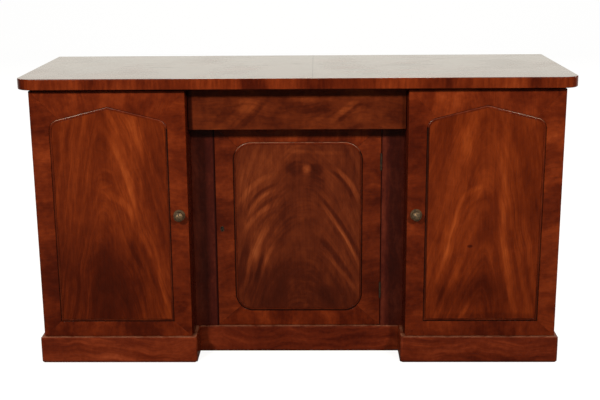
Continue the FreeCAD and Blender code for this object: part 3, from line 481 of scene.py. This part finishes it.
# Flame veneer. Streaks run where rise = z + steep * |x| ** bend is level, so they fall away
# on both sides of a spine like a plume; patches and lines draw each sheet's own figure.
# All places are metres from the sheet's middle: x to the right, z up.
figures = {
    "left_door_panel": {
        "spine": -0.030, "lean": 0.02, "steepLeft": 9.0, "steepRight": 4.2, "bend": 1.15,
        "blunt": 0.02, "streaks": 13.0, "seed": 3.3, "contrast": 0.46, "level": 0.525,
        "tint": (1.0, 1.02, 0.85),
        "patches": [
            (0.055, 0.25, 0.055, 0.09, 0.12), (0.03, 0.13, 0.05, 0.09, 0.07),
            (-0.10, 0.10, 0.08, 0.20, 0.03), (-0.11, -0.26, 0.16, 0.16, -0.22),
            (0.02, -0.26, 0.09, 0.14, -0.13), (-0.14, -0.10, 0.06, 0.08, -0.06),
            (-0.03, 0.26, 0.03, 0.06, -0.08), (-0.165, 0.26, 0.04, 0.10, -0.10),
            (-0.04, -0.06, 0.05, 0.06, -0.05), (0.15, 0.12, 0.03, 0.16, -0.05),
        ],
        "lines": [
            ((0.066, 0.315), (0.080, 0.215), 0.016, 0.12, 0.0),
            ((0.098, 0.290), (0.100, 0.170), 0.005, 0.10, 0.0),
            ((0.022, 0.210), (0.060, 0.110), 0.010, 0.09, 0.0),
            ((0.036, 0.255), (0.062, 0.180), 0.005, -0.10, 0.004),
            ((0.058, 0.140), (0.068, -0.010), 0.012, 0.14, 0.0),
            ((-0.016, 0.072), (0.066, -0.004), 0.012, 0.13, 0.012),
            ((0.000, 0.050), (0.055, -0.010), 0.005, -0.07, 0.010),
            ((-0.030, 0.150), (0.010, 0.135), 0.005, 0.09, 0.004),
            ((-0.034, 0.118), (0.006, 0.104), 0.004, -0.06, 0.004),
            ((-0.030, 0.090), (0.004, 0.100), 0.004, 0.07, 0.0),
            ((0.082, -0.045), (0.112, -0.130), 0.007, 0.14, 0.004),
            ((0.098, -0.040), (0.136, -0.150), 0.006, 0.14, 0.006),
            ((0.132, -0.140), (0.156, -0.240), 0.006, 0.12, 0.0),
            ((0.076, -0.160), (0.108, -0.290), 0.007, 0.16, 0.004),
            ((0.134, -0.160), (0.154, -0.280), 0.006, 0.09, 0.0),
            ((0.092, -0.100), (0.142, -0.290), 0.010, -0.14, 0.004),
            ((0.060, -0.070), (0.088, -0.210), 0.008, -0.09, 0.0),
            ((0.148, -0.020), (0.166, -0.230), 0.008, -0.07, 0.0),
        ],
    },
    "centre_door_panel": {
        "spine": 0.015, "lean": 0.0, "steepLeft": 9.0, "steepRight": 8.0, "bend": 1.9,
        "blunt": 0.012, "streaks": 20.0, "seed": 7.9, "contrast": 0.42, "level": 0.43,
        "tint": (0.98, 1.30, 1.7),
        "patches": [
            (-0.13, 0.16, 0.07, 0.08, 0.10), (-0.05, 0.23, 0.06, 0.03, 0.04),
            (-0.14, -0.03, 0.06, 0.09, 0.05), (0.08, 0.23, 0.05, 0.02, 0.04),
            (-0.012, 0.195, 0.024, 0.020, -0.22), (0.058, 0.190, 0.018, 0.016, -0.22),
            (0.028, 0.192, 0.012, 0.010, 0.26), (0.03, 0.14, 0.05, 0.04, -0.06),
            (-0.04, -0.21, 0.14, 0.08, -0.18), (0.04, 0.00, 0.05, 0.05, 0.02),
            (0.13, -0.24, 0.07, 0.04, -0.12), (-0.03, 0.03, 0.03, 0.05, -0.07),
            (-0.10, 0.20, 0.06, 0.05, 0.05),
        ],
        "lines": [
            ((-0.186, 0.080), (-0.088, 0.172), 0.008, 0.16, 0.012),
            ((-0.160, 0.062), (-0.078, 0.140), 0.005, -0.20, 0.012),
            ((-0.150, 0.052), (-0.080, 0.122), 0.005, 0.18, 0.010),
            ((-0.145, 0.030), (-0.060, 0.105), 0.006, -0.14, 0.012),
            ((-0.172, -0.020), (-0.080, 0.075), 0.008, 0.18, 0.014),
            ((-0.135, -0.010), (-0.070, 0.055), 0.005, -0.12, 0.008),
            ((-0.100, 0.000), (-0.140, -0.110), 0.010, 0.24, -0.006),
            ((-0.075, -0.055), (-0.118, -0.150), 0.007, 0.18, -0.004),
            ((-0.165, -0.060), (-0.190, -0.190), 0.012, -0.22, 0.0),
            ((-0.112, -0.080), (-0.140, -0.190), 0.006, -0.20, 0.0),
            ((-0.150, -0.080), (-0.170, -0.200), 0.006, 0.12, 0.0),
            ((-0.040, 0.250), (0.150, 0.245), 0.006, 0.08, 0.0),
            ((0.118, 0.192), (0.192, 0.085), 0.008, 0.26, 0.012),
            ((0.100, 0.190), (0.176, 0.085), 0.006, -0.14, 0.012),
            ((0.060, 0.115), (0.198, -0.100), 0.006, -0.16, 0.010),
            ((0.080, 0.075), (0.196, -0.130), 0.005, 0.16, 0.008),
            ((0.100, 0.035), (0.180, -0.095), 0.004, 0.12, 0.006),
            ((0.070, -0.035), (0.170, -0.180), 0.009, -0.20, 0.006),
            ((0.095, -0.100), (0.190, -0.225), 0.006, 0.16, 0.006),
            ((0.040, 0.170), (0.085, 0.150), 0.005, -0.12, 0.004),
        ],
    },
    "right_door_panel": {
        "spine": 0.005, "lean": 0.03, "steepLeft": 4.4, "steepRight": 5.5, "bend": 1.15,
        "blunt": 0.02, "streaks": 12.0, "seed": 12.4, "contrast": 0.46, "level": 0.555,
        "tint": (1.0, 1.0, 0.8),
        "patches": [
            (-0.06, 0.20, 0.05, 0.09, 0.05), (-0.09, -0.06, 0.05, 0.13, 0.06),
            (0.06, 0.22, 0.04, 0.10, 0.05), (0.00, -0.27, 0.10, 0.06, -0.18),
            (0.018, -0.19, 0.04, 0.06, -0.10), (0.15, 0.08, 0.04, 0.12, -0.08),
            (-0.15, 0.25, 0.05, 0.07, -0.09), (-0.15, -0.28, 0.05, 0.06, -0.08),
            (0.04, -0.335, 0.16, 0.015, -0.16), (0.12, -0.27, 0.04, 0.06, 0.08),
            (0.02, 0.06, 0.02, 0.09, -0.05), (-0.039, -0.098, 0.007, 0.004, -0.36),
        ],
        "lines": [
            ((-0.058, 0.270), (-0.052, 0.180), 0.014, 0.08, 0.0),
            ((-0.088, 0.160), (-0.108, 0.030), 0.014, 0.10, 0.0),
            ((0.000, 0.095), (-0.078, 0.030), 0.008, 0.12, -0.014),
            ((0.006, 0.060), (-0.066, -0.030), 0.006, -0.08, -0.016),
            ((-0.072, 0.040), (-0.096, -0.060), 0.008, 0.13, 0.0),
            ((-0.080, 0.000), (-0.116, -0.150), 0.014, 0.14, -0.004),
            ((-0.102, -0.090), (-0.142, -0.220), 0.006, 0.11, 0.0),
            ((-0.078, -0.090), (-0.134, -0.300), 0.008, -0.13, 0.0),
            ((-0.130, -0.040), (-0.152, -0.190), 0.006, -0.08, 0.0),
            ((0.058, 0.270), (0.055, 0.140), 0.010, 0.08, 0.0),
            ((0.054, 0.160), (0.064, -0.040), 0.008, 0.13, 0.0),
            ((0.034, 0.120), (0.042, -0.040), 0.007, -0.08, 0.0),
            ((0.050, -0.030), (0.076, -0.130), 0.008, 0.11, 0.0),
            ((0.068, -0.100), (0.102, -0.290), 0.010, 0.15, 0.0),
            ((0.092, -0.060), (0.122, -0.260), 0.007, -0.07, 0.0),
            ((0.086, 0.060), (0.098, -0.080), 0.006, -0.06, 0.0),
        ],
    },
}


# How far the plume and the drawn lines wander, across and up, and how much each layer counts
flame = {
    "wander": (0.06, 0.07),
    "lineWander": (0.012, 0.016),
    "lineFray": 0.006,
    "turnWithin": 0.03,
    "fine": 1.1,
    "upright": 0.26,
    "clouds": 0.35,
    "fleck": 0.28,
    "lineGrain": 1.3,
    "lineLevel": 0.35,
}


def flameVeneer(node):
    figure = figures[node]
    low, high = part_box(node)
    middle = (low + high) / 2
    tree = Tree(f"{node}_veneer")
    x, y, z = tree.split(tree.place())
    seed = figure["seed"]
    offX = x - middle.x
    offZ = z - middle.z
    swirl = tree.noise(offX * 6.0 + seed, offZ * 3.5, 0.0, detail=2.0)
    ripple = tree.noise(offX * 6.0, offZ * 3.5 + seed, 4.0, detail=2.0)
    bentX = offX + (swirl - 0.5) * flame["wander"][0]
    bentZ = offZ + (ripple - 0.5) * flame["wander"][1]
    side = bentX - bentZ * figure["lean"] - figure["spine"]
    blunt = figure["blunt"]
    away = (side * side + blunt * blunt).math("SQRT") - blunt
    onRight = tree.step(side, -flame["turnWithin"], flame["turnWithin"])
    steep = onRight * (figure["steepRight"] - figure["steepLeft"]) + figure["steepLeft"]
    rise = bentZ + (away ** figure["bend"]) * steep
    streaks = figure["streaks"]
    contrast = figure["contrast"]
    broad = tree.noise(rise * streaks, side * 9.0, seed, detail=3.0, roughness=0.5)
    fine = tree.noise(rise * (streaks * 4.5), side * 14.0, seed + 2.0, detail=4.0, roughness=0.6)
    clouds = tree.noise(offX * 9.0, offZ * 6.0, seed + 5.0, detail=3.0)
    fleck = tree.noise(offX * 70.0, offZ * 30.0, seed + 7.0, detail=3.0)
    fading = tree.step(clouds, 0.30, 0.65)
    upright = tree.noise(bentX * 34.0, offZ * 2.5, seed + 9.0, detail=2.0)
    value = (broad - 0.5) * contrast + (fine - 0.5) * fading * (contrast * flame["fine"])
    value = value + (upright - 0.5) * flame["upright"] + (clouds - 0.5) * flame["clouds"]
    value = value + (fleck - 0.5) * flame["fleck"] + figure["level"]
    nearX = offX + (swirl - 0.5) * flame["lineWander"][0] + (fine - 0.5) * flame["lineFray"]
    nearZ = offZ + (ripple - 0.5) * flame["lineWander"][1]
    drawn = linework(tree, nearX, nearZ, figure["lines"])
    value = value + drawn * (fine * flame["lineGrain"] + flame["lineLevel"])
    value = patchwork(tree, offX, offZ, figure["patches"], value)
    return polished(tree, value, x, z, y, {"tint": figure["tint"]})


print("wood figures ready")

# Pale and unpolished woods: grain along one axis, with rings that wander
plainWoods = {
    "pine": {"tones": [(0.30, 0.155, 0.060), (0.43, 0.245, 0.105), (0.52, 0.32, 0.15)], "rings": 38.0,
             "roughness": 0.62},
    "inner_mahogany": {"tones": [(0.075, 0.020, 0.008), (0.13, 0.040, 0.015), (0.19, 0.068, 0.027)],
                       "rings": 30.0, "roughness": 0.5},
    "drawer_lining": {"tones": [(0.33, 0.19, 0.085), (0.45, 0.28, 0.14), (0.54, 0.36, 0.19)], "rings": 55.0,
                      "roughness": 0.58},
}


def plainWood(slot, grainAxis):
    wood = plainWoods[slot]
    tree = Tree(f"{slot}_{grainAxis.lower()}")
    (across, along, depth), (x, y, z) = grainPlaces(tree, grainAxis)
    sway = tree.noise(across * 4.0, depth * 4.0, along * 1.4, detail=2.0)
    bent = across + depth * 0.6 + (sway - 0.5) * 0.16
    rings = ((bent * (wood["rings"] * 6.28)).math("SINE") * 0.5 + 0.5) ** 2.0  # dark late wood
    fibre = tree.noise(across * 320.0, depth * 320.0, along * 9.0, detail=3.0)
    stain = tree.noise(x * 5.0, y * 5.0, z * 5.0, detail=4.0)
    value = ((stain - 0.5) * 0.9 + (fibre - 0.5) * 0.5 - rings * 0.28 + 0.62).clamped()
    color = tree.ramp(value, list(zip((0.15, 0.5, 0.85), wood["tones"])))
    relief = tree.bump(fibre - rings * 0.4, 0.15, 0.4 * mm)
    return tree.surface({
        "Base Color": color, "Roughness": (fibre - 0.5) * 0.2 + wood["roughness"], "Normal": relief,
        "Specular IOR Level": 0.3})


# Metals: a patina that gathers in clouds over the bare tone, and fine scratches
metals = {
    "dark_brass": {"bare": (0.215, 0.135, 0.080), "patina": (0.048, 0.034, 0.022), "cover": (0.38, 0.62),
                   "roughness": 0.50},
    "aged_brass": {"bare": (0.13, 0.080, 0.038), "patina": (0.020, 0.012, 0.007), "cover": (0.20, 0.48),
                   "roughness": 0.45},
    "steel": {"bare": (0.40, 0.39, 0.38), "patina": (0.12, 0.085, 0.065), "cover": (0.50, 0.75),
              "roughness": 0.40},
}


def metal(slot):
    kind = metals[slot]
    tree = Tree(f"{slot}_worn")
    x, y, z = tree.split(tree.place())
    clouds = tree.noise(x * 160.0, y * 160.0, z * 160.0, detail=4.0)
    scratches = tree.noise(x * 2400.0, y * 600.0, z * 700.0, detail=2.0)
    cover = tree.step(clouds, *kind["cover"])
    color = tree.mixColor(cover, kind["bare"], kind["patina"])
    relief = tree.bump(scratches + clouds, 0.12, 0.1 * mm)
    return tree.surface({
        "Base Color": color, "Metallic": cover * -0.45 + 1.0,
        "Roughness": cover * 0.22 + (scratches - 0.5) * 0.14 + kind["roughness"], "Normal": relief})


print("plain woods and metals ready")

# The top's veneer lies along it in two sheets that meet at a seam. Its edge has upright grain
# with patches: x, half width, amount.
topSheets = {
    "seam": 0.048,
    "seamWidth": (1.6 * mm, 0.4 * mm),
    "seamDepth": 0.4,
    "seamHaze": 0.25,
    "faceFrom": (0.9082, 0.9096),
    "faceContrast": 0.6,
    "edgeLevel": 0.48,
    "edgeMiddle": 0.893,
    "edgeReach": 0.1,
    "edgePatches": [
        (-0.835, 0.022, -0.32), (-0.70, 0.036, 0.16), (-0.465, 0.05, 0.07), (-0.272, 0.035, 0.10),
        (-0.03, 0.03, 0.10), (0.35, 0.045, 0.13), (0.585, 0.075, 0.15), (-0.60, 0.035, -0.10),
        (-0.13, 0.035, -0.18), (0.05, 0.03, -0.14), (0.14, 0.04, -0.08), (0.44, 0.025, -0.10),
        (0.72, 0.02, -0.16),
    ],
}


def topVeneer():
    tree = Tree("top_veneer")
    x, y, z = tree.split(tree.place())
    onFace = tree.step(z, *topSheets["faceFrom"])
    bent = tree.noise(x * 3.0, y * 5.0, 7.3, detail=2.0)
    long = tree.noise(x * 4.0, (y + bent * 0.1) * 26.0, 2.0, detail=4.0)
    upright = tree.noise(x * 110.0, y * 110.0, z * 16.0, detail=3.0)
    broad = tree.noise(x * 16.0, y * 16.0, z * 10.0, detail=2.0)
    faceValue = (long - 0.5) * topSheets["faceContrast"] + 0.5
    patches = [
        (place, topSheets["edgeMiddle"], wide, topSheets["edgeReach"], amount)
        for place, wide, amount in topSheets["edgePatches"]]
    upgrain = (broad - 0.5) * 0.7 + (upright - 0.5) * 0.6 + topSheets["edgeLevel"]
    edgeValue = patchwork(tree, x, z, patches, upgrain)
    seam = tree.step((x - topSheets["seam"]).size(), *topSheets["seamWidth"]) * onFace
    value = onFace * (faceValue - edgeValue) + edgeValue - seam * topSheets["seamDepth"]
    return polished(tree, value, x, y, z, {"gloss": 1.0, "haze": seam * topSheets["seamHaze"]})


# Polished mahogany by place. Patches and lines here are in metres from the middle of the object.
bands = {
    "stile": bandedMahogany(
        "crossbanding_level", "X", seed=1.7, streaks=0.28, level=0.525, paintedFalloff=0.14, hollow=0.95,
        patches=[
            (0.78, 0.55, 0.05, 0.30, 0.06), (0.365, 0.55, 0.04, 0.30, -0.04),
            (-0.365, 0.25, 0.04, 0.20, -0.06), (-0.78, 0.22, 0.05, 0.14, -0.09),
        ]),
    "rail": bandedMahogany(
        "crossbanding_upright", "Z", seed=5.2, streaks=0.3, level=0.51, paintedFalloff=0.14, hollow=0.95,
        patches=[(0.62, 0.85, 0.14, 0.06, 0.08), (-0.60, 0.11, 0.20, 0.06, -0.04)]),
    "centreStile": bandedMahogany(
        "crossbanding_centre_level", "X", seed=13.7, streaks=0.3, level=0.44, hollow=0.95,
        tint=(0.97, 1.05, 1.2),
        # The hair-thin patch at the door's left edge is a painted shadow line in the gap
        patches=[(0.235, 0.42, 0.03, 0.40, -0.06), (-0.2615, 0.42, 0.0014, 4.0, -0.60)]),
    "centreRail": bandedMahogany(
        "crossbanding_centre_upright", "Z", seed=15.2, streaks=0.3, level=0.44, hollow=0.95,
        patches=[(0.0, 0.74, 0.30, 0.03, 0.07)]),
    "bead": bandedMahogany(
        "bead_mahogany", "Z", seed=3.1, blotch=0.6, level=0.46, hollow=0.95, worn=0.65, gloss=0.3,
        coatRoughness=0.25),
    "recess": bandedMahogany(
        "recess_mahogany", "Z", seed=2.2, blotch=0.5, level=0.295, hollow=0.97,
        tint=(0.80, 1.05, 2.4),
        # Painted light and shade: the wide patches even out the lamps' shadows across the recess stiles,
        # and the hair-thin ones paint shadow lines in the gaps beside the centre door
        patches=[
            (-0.285, 0.40, 0.012, 0.60, -0.08), (-0.328, 0.40, 0.012, 0.60, 0.10),
            (0.270, 0.40, 0.008, 0.60, 0.16), (-0.2640, 0.40, 0.0022, 4.0, -0.60),
            (0.2635, 0.40, 0.0014, 4.0, -0.60),
        ]),
    "side": bandedMahogany("side_mahogany", "Z", seed=8.5, run=5.0, level=0.46),
    # Painted shade: the pedestals' inner sides are the side mahogany at a much darker level, for the shade
    # beside the recess
    "shadedInnerSide": bandedMahogany("shaded_inner_side_mahogany", "Z", seed=9.4, blotch=0.6, run=4.0, level=0.20),
    "plinth": bandedMahogany(
        "plinth_mahogany", "X", seed=6.6, blotch=0.7, streaks=0.7, run=1.8, level=0.468, worn=0.55,
        hollow=0.8, tint=(1.0, 1.05, 1.5),
        # Painted light and shade: these patches make the plinth lighter on the left and darker in the
        # middle and on the right, as the lamps fall on it
        patches=[
            (-0.55, 0.04, 0.22, 0.20, 0.06), (0.0, 0.04, 0.20, 0.20, -0.06),
            (0.58, 0.04, 0.20, 0.20, -0.06),
        ]),
    "drawer": bandedMahogany(
        "drawer_veneer", "X", seed=4.4, blotch=0.8, level=0.43, tint=(0.95, 1.2, 1.35),
        lines=[
            ((-0.240, 0.742), (-0.118, 0.848), 0.011, 0.17, 0.0),
            ((-0.200, 0.750), (-0.110, 0.838), 0.005, 0.14, 0.0),
            ((-0.170, 0.750), (-0.090, 0.835), 0.006, -0.10, 0.0),
            ((-0.030, 0.835), (0.062, 0.836), 0.010, 0.10, 0.006),
            ((0.104, 0.772), (0.185, 0.836), 0.009, 0.19, 0.0),
            ((0.120, 0.765), (0.200, 0.830), 0.006, -0.12, 0.0),
            ((0.020, 0.800), (0.090, 0.812), 0.008, -0.12, 0.0),
            ((0.040, 0.765), (0.110, 0.800), 0.006, 0.10, 0.0),
        ],
        patches=[
            (-0.150, 0.815, 0.024, 0.024, 0.13), (-0.225, 0.825, 0.03, 0.03, -0.05),
            (0.186, 0.856, 0.035, 0.014, 0.12), (0.200, 0.790, 0.028, 0.02, 0.14),
            (0.0, 0.812, 0.05, 0.02, -0.10), (0.084, 0.806, 0.03, 0.02, -0.10),
            (0.207, 0.828, 0.03, 0.014, -0.10), (0.31, 0.79, 0.03, 0.05, -0.08),
            (-0.02, 0.765, 0.12, 0.03, -0.06), (-0.27, 0.80, 0.05, 0.05, 0.03),
            # The first patch here is a painted shadow of the left pedestal across the drawer's left end
            (-0.335, 0.81, 0.012, 0.40, -0.40), (-0.30, 0.81, 0.02, 0.10, -0.10),
        ]),
    "top": topVeneer(),
}
plainSlots = {"recess_mahogany": "recess", "side_mahogany": "side", "drawer_veneer": "drawer"}
grainAxes = {
    "X": ("pedestal_floors", "centre_floor", "pedestal_shelves", "centre_shelf", "top_rails", "plinth_back",
          "drawer_back", "plinth_bearers"),
    "Y": ("shelf_bearers", "drawer_guides", "drawer_sides"),
    "Z": ("pedestal_backs", "centre_back", "plinth_blocks", "drawer_bottom"),
}
metalParts = {slot: metal(slot) for slot in metals}


# A bead's round outer side is glossy. Painted shade darkens it along the top only where it turns down to
# meet the frame, and below and beside the panel all of it, less on the outer sides; its rounds carry a
# painted highlight where they face up.
beadShade = {
    "topBand": {"centre_door_bead": 30.0 * mm, "left_door_bead": 66.0 * mm, "right_door_bead": 66.0 * mm},
    "bottomBand": 9.0 * mm,
    "roundFrom": 0.12,  # a normal that leans outwards by more is on the round side
    "turnedDown": (0.6, 0.9),
    "wornFrom": 0.3,
    "flat": {"centre": 0.4, "outer": 0.12, "inner": 0.88, "below": 0.5},
    "round": {"centre": 0.9, "outer": 0.3, "inner": 0.97, "below": 0.85},
}


def beadMarks(node):
    low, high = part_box(node)
    middle = (low + high) / 2
    isCentre = node.startswith("centre")

    def outward(vertex):
        away = vertex.co - middle
        flat = Vector((vertex.normal.x, 0.0, vertex.normal.z))
        return flat.length if flat.x * away.x + flat.z * away.z > 0.0 else 0.0

    def isRound(vertex):
        return outward(vertex) > beadShade["roundFrom"]

    def isOuter(vertex):
        return (vertex.co.x - middle.x) * middle.x > 0.0

    # Painted shade, by place and by how far the bead turns outwards
    def hollow(vertex):
        if vertex.co.z > high.z - beadShade["topBand"][node]:
            start, end = beadShade["turnedDown"]
            return min(max((outward(vertex) - start) / (end - start), 0.0), 1.0)
        side = "outer" if isOuter(vertex) else "inner"
        if isCentre:
            side = "centre"
        elif vertex.co.z < low.z + beadShade["bottomBand"]:
            side = "below"
        return beadShade["round" if isRound(vertex) else "flat"][side]

    # Painted highlight on the up-facing rounds of the outer sides and of the centre bead
    def worn(vertex):
        facesUp = vertex.normal.z > beadShade["wornFrom"]
        return 1.0 if facesUp and isRound(vertex) and (isCentre or isOuter(vertex)) else 0.0

    return {"hollow": hollow, "worn": worn, "gloss": lambda vertex: 1.0 if isRound(vertex) else 0.0}


# A frame carries painted shade down the walls of its opening, which the bead's box shows, and the centre
# door's frame also in the gaps at its sides. The stiles beside that door carry painted shade there too.
frameShade = {"wallFrom": 0.2 * mm, "gapFrom": 55.0 * mm, "gapTo": 0.8 * mm, "gapReach": 2.2 * mm}


def frameMarks(node):
    low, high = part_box(node.rsplit("_", 1)[0] + "_bead")
    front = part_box(node)[0].y
    isCentre = node.startswith("centre")

    def wall(vertex):
        place = vertex.co
        deep = place.y - front
        inside = low.x - mm < place.x < high.x + mm and low.z - mm < place.z < high.z + mm
        beside = isCentre and abs(place.x) > high.x + frameShade["gapFrom"] and deep < frameShade["gapTo"]
        return 1.0 if deep > frameShade["wallFrom"] and (inside or beside) else 0.0

    return {"hollow": wall}


def gapMarks(node):
    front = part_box(node)[0].y
    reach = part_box("centre_door_stiles")[1].x + frameShade["gapReach"]

    def gap(vertex):
        isDeep = vertex.co.y > front + frameShade["wallFrom"]
        return 1.0 if isDeep and abs(vertex.co.x) < reach else 0.0

    return {"hollow": gap}


def liesFlat(vertex):
    return 1.0 if vertex.normal.z > 0.9 else 0.0


# The plinth's corners are rounded, and its foot is worn back, most at the corners. Cuts give the
# boards points there, in shares of the radius and of the foot's height.
plinthWear = {
    "radius": 8.0 * mm,
    "nearFront": 12.0 * mm,
    "cornerCuts": (0.25, 0.5, 0.75, 1.0),
    "footHeight": 8.0 * mm,
    "footDepth": {"corner": 6.5 * mm, "front": 0.8 * mm},
    "footCuts": (0.1, 0.3, 0.6, 1.0),
}


def cutAcross(work, place, direction):
    bmesh.ops.bisect_plane(
        work, geom=work.verts[:] + work.edges[:] + work.faces[:], dist=0.001 * mm,
        plane_co=place, plane_no=direction)


def cutFoot(work):
    for share in plinthWear["footCuts"]:
        cutAcross(work, (0.0, 0.0, share * plinthWear["footHeight"]), (0.0, 0.0, 1.0))


# Each point near a corner is drawn in towards the middle line of the rounding, so that square
# rings round that line turn into round ones
def roundPlinth(work):
    cutFoot(work)
    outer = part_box("plinth_ends")[1].x
    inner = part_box("plinth_centre_front")[1].x
    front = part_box("plinth_pedestal_fronts")[0].y
    radius = plinthWear["radius"]
    for inset in (share * radius for share in plinthWear["cornerCuts"]):
        cutAcross(work, (0.0, front + inset, 0.0), (0.0, 1.0, 0.0))
        for place in (outer - inset, inner + inset, -outer + inset, -inner - inset):
            cutAcross(work, (place, 0.0, 0.0), (1.0, 0.0, 0.0))
    for vertex in work.verts:
        beside = abs(vertex.co.x)
        outward = math.copysign(1.0, (2.0 * beside - outer - inner) * vertex.co.x)
        pastX = max(radius - min(outer - beside, beside - inner), 0.0)
        pastY = max(radius - (vertex.co.y - front), 0.0)
        if pastX + pastY > 0.0:
            lift = max(1.0 - vertex.co.z / plinthWear["footHeight"], 0.0)
            nearFront = vertex.co.y - front < plinthWear["nearFront"]
            depth = plinthWear["footDepth"]["front"] if nearFront else 0.0
            depth += (plinthWear["footDepth"]["corner"] - depth) * min(pastX, pastY) / radius
            foot = (1.0 - math.sqrt(1.0 - lift * lift)) * depth
            shrink = 1.0 - max(pastX, pastY) / math.hypot(pastX, pastY) * (1.0 - foot / radius)
            vertex.co.x -= outward * pastX * shrink
            vertex.co.y += pastY * shrink


# Painted shade darkens the plinth along the floor
def paintedFootShade(vertex):
    return max(1.0 - vertex.co.z / plinthWear["footHeight"], 0.0)


for node in frame["nodes"]:
    slot = slotOf(node)
    if node in figures:
        softened(node, flameVeneer(node), "panel")
    elif slot == "bead_mahogany":
        softened(node, bands["bead"], "bead", beadMarks(node))
    elif slot == "crossbanding":
        key = "rail" if node.endswith("rails") else "stile"
        key = f"centre{key.title()}" if node.startswith("centre") else key
        softened(node, bands[key], "frame", frameMarks(node))
    elif slot == "plinth_mahogany":
        # Plinth marks: a painted highlight on its flat tops and painted shade along its foot
        marks = {"worn": liesFlat, "hollow": paintedFootShade}
        wear = cutFoot if node == "plinth_centre_front" else roundPlinth
        softened(node, bands["plinth"], "plinth", marks, wear)
    elif slot == "top_veneer":
        softened(node, bands["top"], "top", {"gloss": liesFlat})
    elif node == "centre_stiles":
        softened(node, bands["recess"], "centreStiles", gapMarks(node))
    elif slot in plainSlots:
        key = "shadedInnerSide" if "inner_side" in node else plainSlots[slot]
        softened(node, bands[key], "board")
    elif slot in plainWoods:
        axis = next(axis for axis, names in grainAxes.items() if node in names)
        softened(node, plainWood(slot, axis), "inside")
    else:
        dress(node, metalParts["aged_brass" if node == "keyhole_plate" else slot])
print("every node dressed")
